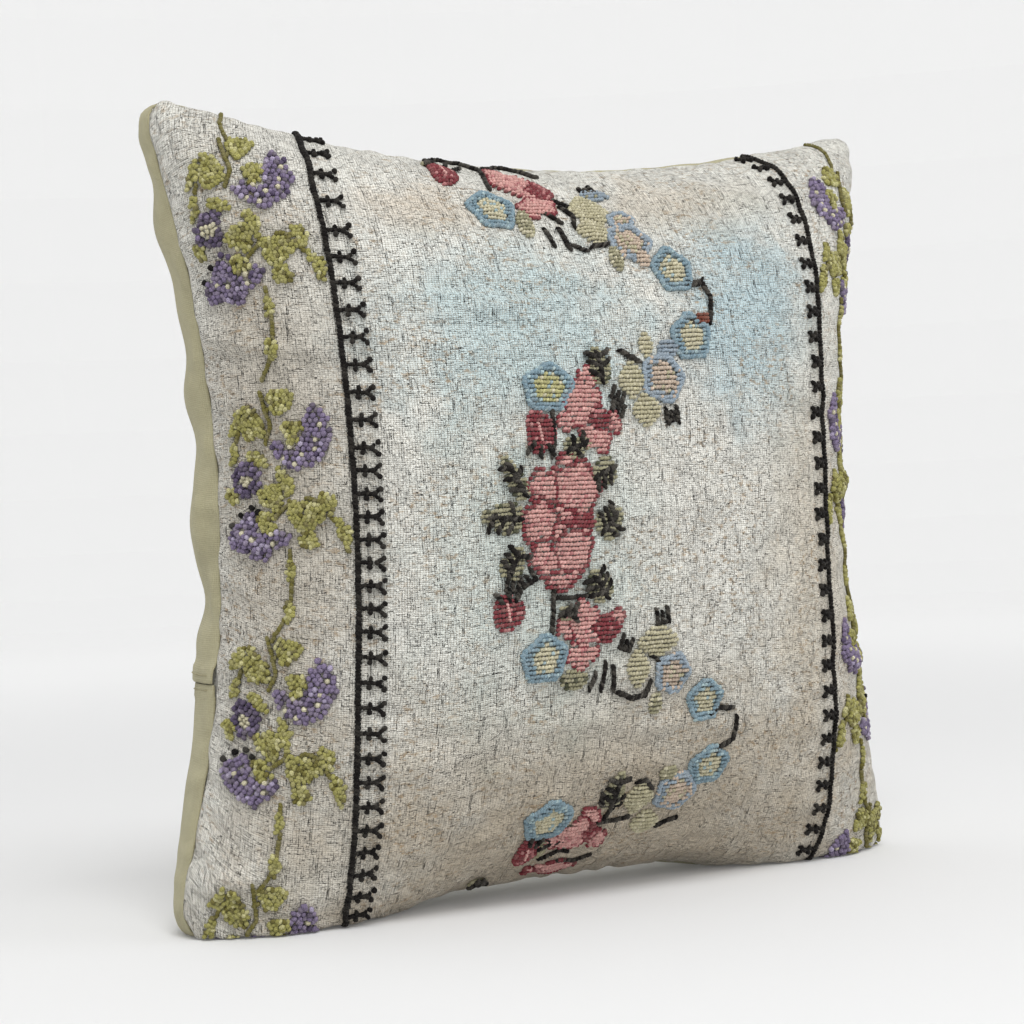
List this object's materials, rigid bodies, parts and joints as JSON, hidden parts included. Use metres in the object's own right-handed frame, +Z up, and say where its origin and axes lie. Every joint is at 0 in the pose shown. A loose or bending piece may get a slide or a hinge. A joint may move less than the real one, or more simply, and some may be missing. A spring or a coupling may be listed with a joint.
{
  "type": "throw pillow",
  "caption": "Square throw pillow standing on its edge: wool-embroidered linen front, plain canvas back closed by a zip, and a fibre-filled insert.",
  "frame": {"origin": "on the ground, at the middle of the lower edge", "axes": "+Z up along the height, +X across the width to the right seen from the front, +Y from the front to the back"},
  "size_m": [0.4626, 0.1871, 0.4394],
  "materials": {
    "linen": "coarse plain-weave linen, off-white with faint blue and ochre stains",
    "canvas": "plain cotton canvas, khaki",
    "insert_cloth": "thin white cotton",
    "fibre": "loose polyester fibre",
    "black_wool": "matt wool yarn",
    "vine_wool": "matt wool yarn, green, plum and cream",
    "garland_wool": "matt wool yarn, pink, dark red, blue, cream and black",
    "zip_tape": "herringbone polyester tape",
    "zip_teeth": "nylon coil",
    "zip_metal": "dull nickel plate"
  },
  "bodies": {
    "cover": {"front_panel": "linen", "back_upper_panel": "canvas", "back_lower_panel": "canvas", "insert_front": "insert_cloth", "insert_back": "insert_cloth", "fibre_fill": "fibre", "left_border_line": "black_wool", "right_border_line": "black_wool", "left_border_vine": "vine_wool", "right_border_vine": "vine_wool", "centre_garland": "garland_wool", "zip_upper_tape": "zip_tape", "zip_lower_tape": "zip_tape", "zip_upper_teeth": "zip_teeth", "zip_lower_teeth": "zip_teeth", "zip_top_stop_upper": "zip_metal", "zip_top_stop_lower": "zip_metal", "zip_bottom_stop": "zip_metal"},
    "zip_slider": {"zip_slider_body": "zip_metal", "zip_slider_bridge": "zip_metal"},
    "pull_tab": {"zip_pull_tab": "zip_metal"}
  },
  "joints": [
    {"name": "zip_travel", "type": "hinge", "parent": "cover", "child": "zip_slider", "pos_m": [0, -0.62984, 0.132], "axis": [0, 0, 1], "range_deg": [0, 21.6]},
    {"name": "pull_tab_swing", "type": "hinge", "parent": "zip_slider", "child": "pull_tab", "pos_m": [0.13541, 0.08001, 0.132], "axis": [0, 0, -1], "range_deg": [0, 170]}
  ]
}
